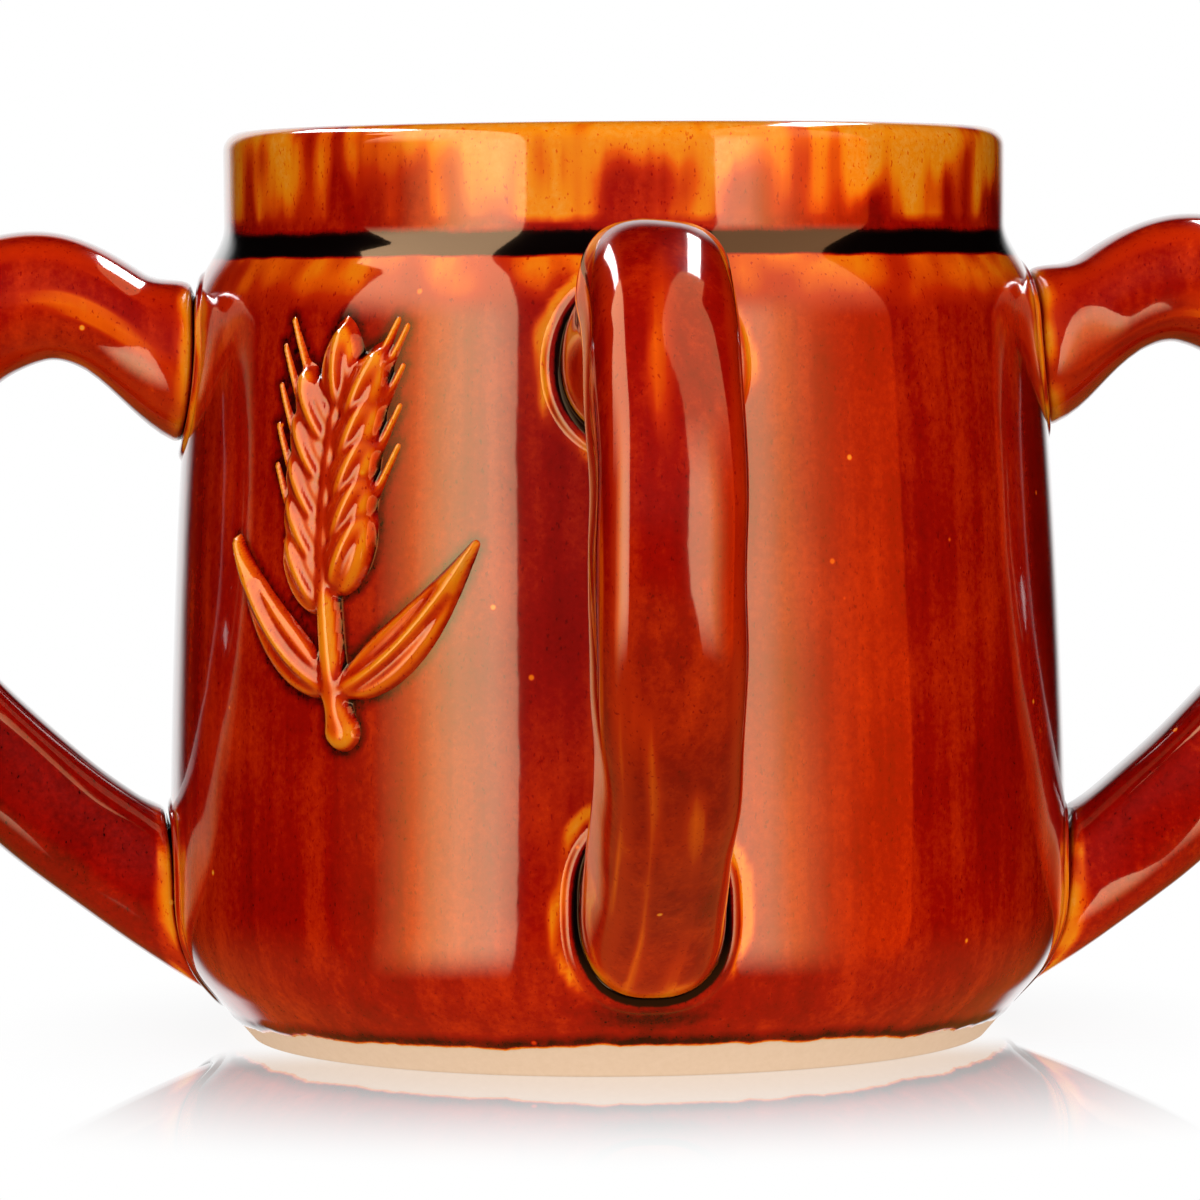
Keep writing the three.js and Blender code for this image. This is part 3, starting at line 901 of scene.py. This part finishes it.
# Colour of the glaze over the clay, from drawn thin to gathered thick.
GLAZE_COLOURS = [
    (0.0, (0.98, 0.52, 0.10)),
    (0.12, (1.0, 0.28, 0.004)),
    (0.25, (0.9, 0.11, 0.0008)),
    (0.40, (0.62, 0.023, 0.0003)),
    (0.56, (0.38, 0.003, 0.0001)),
    (0.74, (0.21, 0.0015, 0.0002)),
    (0.88, (0.04, 0.001, 0.0006)),
    (1.0, (0.003, 0.001, 0.001)),
]
CLAY = (0.86, 0.61, 0.42, 1)
CLAY_GRIT = (0.76, 0.51, 0.32, 1)
# The patterns of the fired glaze: how fine each is, and how far it is drawn out downwards.
streak_scale = 420
streak_squeeze = (1, 1, 0.07)
cloud_scale = 80
grit_scale = 1300
speck_scale = 3100
speck_squeeze = (1, 1, 0.55)
pinhole_scale = 700
# How far each pattern swings the depth of the glaze, or the edge of what is thin, pooled or wiped.
streak_swing = 0.36
cloud_swing = 0.34
grit_swing = 0.3
thin_streak_swing = 0.45
thin_grit_swing = 0.4
speck_depth = 0.16
# Between which values each of them sets in.
drawn_off_edges = (0.08, 1.0)
gathered_and_shaded_edges = (0.1, 0.9)
speck_edges = (0.64, 0.77)
pinhole_edges = (0.3, 0.12)
pinhole_odds = (0.993, 0.996)
# Heights over the wiped line, in millimetres, where the glaze, its thin edge and its roll begin and end.
glazed_edges = (-0.05, 0.06)
thin_edges = (0.3, 0.08)
roll_bottom = (0.15, 0.4)
roll_top = (1.9, 0.5)
# Depths of the glaze where it is drawn off, in a pinhole, in its roll and at its very edge.
thin_depth = 0.02
thin_depth_swing = 0.18
pinhole_depth = 0.08
roll_darkening = 0.3
edge_depth = 0.12
# Gloss of the glaze and the clay, and the faint orange peel of the surface.
glaze_roughness = 0.13
clay_roughness = 0.85
coat_roughness = 0.04
coat_ior = 1.6
base_specular = 0.12
peel_height = 0.1 * MM
peel_strength = 0.5
peel_grit = 0.03


def glaze(name, level, bare_foot=False):
    """Glossy glaze, thin or thick as the piece's own attributes say, round a usual level."""
    material = bpy.data.materials.new(name)
    material.use_nodes = True
    tree = material.node_tree
    shader = tree.nodes["Principled BSDF"]
    place = node(tree, "TexCoord", {}).outputs["Object"]
    streaks = pattern(tree, squeezed(tree, place, streak_squeeze), streak_scale, detail=4)
    clouds = pattern(tree, place, cloud_scale, detail=3)
    grit = pattern(tree, place, grit_scale, detail=4, roughness=0.7)
    specks = pattern(tree, squeezed(tree, place, speck_squeeze), speck_scale, detail=1)
    cells = node(tree, "TexVoronoi", {"Vector": place, "Scale": pinhole_scale}).outputs
    picked = node(tree, "SeparateColor", {0: cells["Color"]}).outputs[1]
    thin = varied(tree, attribute(tree, "thin"), streaks, thin_streak_swing)
    drawn_off = ease(tree, varied(tree, thin, grit, thin_grit_swing), *drawn_off_edges)
    # Gathered glaze and painted shade darken the glaze alike, towards nearly black.
    pool_and_shade = varied(tree, attribute(tree, "pool_and_shade"), grit, grit_swing)
    gathered_and_shaded = ease(tree, pool_and_shade, *gathered_and_shaded_edges)
    depth = varied(tree, level, streaks, streak_swing)
    depth = varied(tree, depth, clouds, cloud_swing)
    depth = varied(tree, depth, grit, grit_swing)
    depth = mixed(tree, drawn_off, depth, times_plus(tree, grit, thin_depth_swing, thin_depth))
    depth = mixed(tree, gathered_and_shaded, depth, 1.0)
    depth = times_plus(tree, ease(tree, specks, *speck_edges), speck_depth, depth)
    pinhole = ease(tree, cells["Distance"], *pinhole_edges)
    pinhole = product(tree, pinhole, ease(tree, picked, *pinhole_odds))
    depth = mixed(tree, pinhole, depth, pinhole_depth)
    if bare_foot:
        above = varied(tree, attribute(tree, "above_edge"), grit, grit_swing)
        roll = product(tree, ease(tree, above, *roll_bottom), ease(tree, above, *roll_top))
        depth = times_plus(tree, roll, roll_darkening, depth)
        depth = mixed(tree, ease(tree, above, *thin_edges), depth, edge_depth)
        glazed = ease(tree, above, *glazed_edges)
        clay = mixed_colour(tree, grit, CLAY_GRIT, CLAY)
        colour = mixed_colour(tree, glazed, clay, ramp(tree, depth, GLAZE_COLOURS))
        rough = mixed(tree, glazed, clay_roughness, glaze_roughness)
        tree.links.new(rough, shader.inputs["Roughness"])
        tree.links.new(glazed, shader.inputs["Coat Weight"])
    else:
        colour = ramp(tree, depth, GLAZE_COLOURS)
        shader.inputs["Roughness"].default_value = glaze_roughness
        shader.inputs["Coat Weight"].default_value = 1
    tree.links.new(colour, shader.inputs["Base Color"])
    shader.inputs["Specular IOR Level"].default_value = base_specular
    shader.inputs["Coat Roughness"].default_value = coat_roughness
    shader.inputs["Coat IOR"].default_value = coat_ior
    peel = times_plus(tree, clouds, 1, product(tree, grit, peel_grit))
    bumpy = {"Strength": peel_strength, "Distance": peel_height, "Height": peel}
    bump = node(tree, "Bump", bumpy).outputs[0]
    tree.links.new(bump, shader.inputs["Normal"])
    tree.links.new(bump, shader.inputs["Coat Normal"])
    return material


body_level = 0.54
handle_level = 0.53
slip_level = 0.54
sprig_level = 0.42
body.data.materials.append(glaze("amber_glaze", body_level, bare_foot=True))
handle_glaze = glaze("handle_glaze", handle_level)
for handle in handles.values():
    handle.data.materials.append(handle_glaze)
# The slips' glaze gathers in the crease round each root, and also carries painted shade under the lower
# roots.
pooled_glaze = glaze("pooled_glaze", slip_level)
for slip in slips:
    slip.data.materials.append(pooled_glaze)
sprig.data.materials.append(glaze("sprig_glaze", sprig_level))

# Studio: the mug stands on a white table between two tall softboxes, under two lamps and before a white
# backdrop. The table is polished in front of the mug, where it mirrors it with a slight tilt towards the
# camera, and its white top throws light back onto the mug.
table_radius = 2
table_segments = 96
table_white = (0.9, 0.9, 0.9, 1)
table_roughness = 0.02
table_shine = 0.67
table_tilt = math.radians(2)
table_shade = 0.1
shadow_reach = 75 * MM
shine_start = 34 * MM
shine_end = 104 * MM
shine_ahead = (-10 * MM, -30 * MM)
shine_half_width = 80 * MM
bounce_start = 48 * MM
bounce_end = 100 * MM
bounce_near = 0.84
bounce_far = 0.2
WHITE = (1, 1, 1, 1)


def show(name, mesh, material):
    data = bpy.data.meshes.new(name)
    mesh.to_mesh(data)
    data.materials.append(material)
    piece = bpy.data.objects.new(name, data)
    bpy.context.collection.objects.link(piece)
    return piece


def blank(name):
    """A material without a shader, to be given its own."""
    material = bpy.data.materials.new(name)
    material.use_nodes = True
    material.node_tree.nodes.remove(material.node_tree.nodes["Principled BSDF"])
    return material, material.node_tree


table_top, tree = blank("table_top")
place = node(tree, "TexCoord", {}).outputs["Object"]
spread = node(tree, "VectorMath", {0: place}, operation="LENGTH").outputs["Value"]
spot = node(tree, "SeparateXYZ", {0: place}).outputs
ahead = ease(tree, spot["Y"], *shine_ahead)
aside = node(tree, "Math", {0: spot["X"]}, operation="ABSOLUTE").outputs[0]
shine = product(tree, product(tree, ease(tree, spread, shine_end, shine_start), ahead), table_shine)
shine = product(tree, shine, ease(tree, aside, shine_half_width, foot_radius))
shade = product(tree, ease(tree, spread, shadow_reach, shine_start), table_shade)
white = node(tree, "Emission", {"Color": WHITE, "Strength": 1}).outputs[0]
paint = node(tree, "BsdfDiffuse", {"Color": table_white}).outputs[0]
tilted = node(tree, "CombineXYZ", {"Y": -math.sin(table_tilt), "Z": math.cos(table_tilt)}).outputs[0]
polished = {"Color": WHITE, "Roughness": table_roughness, "Normal": tilted}
polish = node(tree, "BsdfGlossy", polished).outputs[0]
seen = node(tree, "MixShader", {0: shade, 1: white, 2: paint}).outputs[0]
seen = node(tree, "MixShader", {0: shine, 1: seen, 2: polish}).outputs[0]
camera_ray = node(tree, "LightPath", {}).outputs["Is Camera Ray"]
dimming = mixed(tree, ease(tree, spread, bounce_end, bounce_start), bounce_far, bounce_near)
bounce = node(tree, "Emission", {"Color": WHITE, "Strength": dimming}).outputs[0]
top = node(tree, "MixShader", {0: camera_ray, 1: bounce, 2: seen}).outputs[0]
tree.links.new(top, tree.nodes["Material Output"].inputs["Surface"])
table_mesh = bmesh.new()
bmesh.ops.create_circle(table_mesh, cap_ends=True, segments=table_segments, radius=table_radius)
show("table", table_mesh, table_top).visible_glossy = False

# Each softbox is a curved sheet of tinted cloth, from under the table up over the mug. From its bright
# inner edge the left one dims to nothing and the right one to red. Only reflections show them, and they
# see no table. Angles are in degrees, and a tone stands at its share of the way from the outer edge.
light_distance = 0.8
sheet_steps = (16, 64)
softbox_bottom = -80
softbox_top = 96
steepest_over = 80
lean_start = 10
lean_end = 60
upper_tone_heights = (12, 38)
lower_tone_heights = (-36, -11)
glow_peak = 5.5
glow_gain = 1.14
FLOOR_GLOW = (0.32, 0.1, 0.02)
LEFT_GLOW = [
    (0.0, (0.0, 0.0, 0.0)),
    (0.27, (0.3, 0.1, 0.02)),
    (0.39, (2.3, 0.75, 0.2)),
    (0.48, (3.9, 1.3, 0.3)),
    (0.58, (4.8, 2.6, 0.92)),
    (0.70, (4.9, 3.5, 1.7)),
    (0.88, (4.9, 3.5, 2.0)),
    (1.0, (3.6, 2.3, 1.4)),
]
RIGHT_GLOW = [
    (0.0, (2.0, 0.14, 0.002)),
    (0.27, (1.9, 0.18, 0.01)),
    (0.39, (2.3, 0.3, 0.04)),
    (0.5, (2.6, 0.51, 0.1)),
    (0.6, (3.1, 0.94, 0.27)),
    (0.71, (4.1, 1.6, 0.46)),
    (0.82, (4.75, 2.6, 1.25)),
    (1.0, (4.75, 2.9, 1.7)),
]


def aside_and_over(aside, over):
    """The direction so many degrees to the side of the upright plane ahead, and up and over in it."""
    aside = math.radians(aside)
    over = math.radians(over)
    level = math.cos(aside)
    return Vector((math.sin(aside), -math.cos(over) * level, math.sin(over) * level))


def light_sheet(name, edges, along, cloth):
    """Hangs a curved sheet of light over the mug. edges gives its two sides for an angle along it."""
    mesh = bmesh.new()
    inward = mesh.verts.layers.float.new("inward")
    upward = mesh.verts.layers.float.new("upward")
    across_steps, along_steps = sheet_steps
    grid = bmesh.ops.create_grid(mesh, x_segments=across_steps, y_segments=along_steps, size=1)
    for vert in grid["verts"]:
        vert[inward] = (vert.co.x + 1) / 2
        over = along[0] + (along[1] - along[0]) * (vert.co.y + 1) / 2
        outer, inner = edges(over)
        vert.co = light_distance * aside_and_over(outer + (inner - outer) * vert[inward], over)
        vert[upward] = math.degrees(math.asin(vert.co.z / light_distance))
    piece = show(name, mesh, cloth)
    piece.visible_camera = False
    piece.visible_diffuse = False


def softbox_edges(outer_azimuth, inner, inner_over):
    """A softbox's outer side hangs straight down, and its inner side leans in by the top."""
    turn = math.radians(outer_azimuth)

    def edges(over):
        slope = math.tan(math.radians(min(over, steepest_over))) * math.cos(turn)
        outer = math.degrees(math.asin(math.sin(turn) * math.cos(math.atan(slope))))
        return outer, inner + (inner_over - inner) * smoothstep(lean_start, lean_end, over)

    return edges


def glowing(colour):
    """A glow's colour as a share of the strongest one."""
    return [part / glow_peak for part in colour]


def shine_with(material_tree, colour, strength):
    """Makes a sheet's material give light."""
    light = node(material_tree, "Emission", {"Color": colour, "Strength": strength}).outputs[0]
    material_tree.links.new(light, material_tree.nodes["Material Output"].inputs["Surface"])


# For each softbox: its sides, its tones from its outer to its inner edge, and its tone overhead.
SOFTBOXES = {
    "softbox_left": (softbox_edges(-80, -28, -24), LEFT_GLOW, (4.4, 2.7, 1.5)),
    "softbox_right": (softbox_edges(73, 24, 18), RIGHT_GLOW, (1.9, 0.9, 0.4)),
}
for name, (edges, glow, upper_glow) in SOFTBOXES.items():
    cloth, tree = blank(name)
    upward = attribute(tree, "upward")
    tones = [(stop, glowing(colour)) for stop, colour in glow]
    tone = ramp(tree, attribute(tree, "inward"), tones)
    upper_share = ease(tree, upward, *upper_tone_heights)
    tone = mixed_colour(tree, upper_share, tone, (*glowing(upper_glow), 1))
    lower_share = ease(tree, upward, *lower_tone_heights)
    tone = mixed_colour(tree, lower_share, (*glowing(FLOOR_GLOW), 1), tone)
    shine_with(tree, tone, glow_peak * glow_gain)
    light_sheet(name, edges, (softbox_bottom, softbox_top), cloth)


def lamp_edges(outer, outer_lean, inner, inner_lean):
    """A lamp's two sides at the level ahead, and how far each leans aside for a degree up and over."""
    return lambda over: (outer + outer_lean * over, inner + inner_lean * over)


# The two lamps are narrow strips overhead, a little behind the mug.
lamp_strength = 14
LAMPS = {
    "lamp_left": (lamp_edges(-52, 0.18, -47, 0.21), (97, 135)),
    "lamp_right": (lamp_edges(39, -0.2, 45, -0.19), (95, 130)),
}
lamp_light, tree = blank("lamp")
shine_with(tree, WHITE, lamp_strength)
for name, (edges, along) in LAMPS.items():
    light_sheet(name, edges, along, lamp_light)

# The room lights the mug softly from all round, and most from the camera's side. Reflections show none
# of that light: they show the room dark, with its white backdrop and a warm glow from the table below.
# The backdrop's sides are in radians, and the other limits are heights of a direction of length one.
backdrop_sides = (0.5, 0.3)
backdrop_top = (0.62, 0.45)
backdrop_bottom = (-0.62, -0.4)
floor_glow_heights = (-0.12, -0.45)
floor_glow_beside = (0.6, 0.0)
light_level = 0.36
light_ahead = 1.06
light_ahead_squared = 1.4
overhead_heights = (0.05, 0.85)
overhead_dimming = 0.8
world = bpy.data.worlds.new("room")
world.use_nodes = True
tree = world.node_tree
tree.nodes.remove(tree.nodes["Background"])
way = node(tree, "SeparateXYZ", {0: node(tree, "TexCoord", {}).outputs["Generated"]}).outputs
aside = node(tree, "Math", {0: way["X"], 1: way["Y"]}, operation="ARCTAN2").outputs[0]
aside = node(tree, "Math", {0: aside}, operation="ABSOLUTE").outputs[0]
backdrop = product(tree, ease(tree, aside, *backdrop_sides), ease(tree, way["Z"], *backdrop_top))
backdrop = product(tree, backdrop, ease(tree, way["Z"], *backdrop_bottom))
below = ease(tree, way["Z"], *floor_glow_heights)
below = product(tree, below, ease(tree, backdrop, *floor_glow_beside))
reflected = mixed_colour(tree, below, backdrop, (*FLOOR_GLOW, 1))
ahead = product(tree, way["Y"], -1.0)
lighting = times_plus(tree, ahead, light_ahead_squared, light_ahead)
lighting = times_plus(tree, lighting, ahead, light_level)
overhead = ease(tree, way["Z"], *overhead_heights)
lighting = product(tree, lighting, mixed(tree, overhead, 1.0, overhead_dimming))
path = node(tree, "LightPath", {}).outputs
tone = mixed_colour(tree, path["Is Glossy Ray"], lighting, reflected)
tone = mixed_colour(tree, path["Is Camera Ray"], tone, WHITE)
room = node(tree, "Background", {"Color": tone, "Strength": 1}).outputs[0]
tree.links.new(room, tree.nodes["World Output"].inputs["Surface"])
bpy.context.scene.world = world

# Camera: a long lens that stands a little above the table and a few degrees to the left of the front
# handle, so that the handle shows a little of its left side. It is rolled by less than half a degree.
view_azimuth = math.radians(-4)
view_distance = 640 * MM
view_height = 80.1 * MM
aim_height = 46 * MM
aim_left = 1.76 * MM
camera_roll = math.radians(-0.4)
camera_data = bpy.data.cameras.new("camera")
camera_data.sensor_width = 36
camera_data.lens = 180
camera_data.clip_start = 0.01
camera = bpy.data.objects.new("camera", camera_data)
bpy.context.collection.objects.link(camera)
to_right = Vector((math.cos(view_azimuth), math.sin(view_azimuth), 0))
to_back = Vector((-to_right.y, to_right.x, 0))
camera.location = -to_back * view_distance + Vector((0, 0, view_height))
aim = -to_right * aim_left + Vector((0, 0, aim_height))
camera.rotation_mode = "QUATERNION"
facing = (aim - camera.location).to_track_quat("-Z", "Y")
camera.rotation_quaternion = facing @ Quaternion((0, 0, 1), camera_roll)
bpy.context.scene.camera = camera
bpy.context.scene.view_settings.view_transform = "Standard"
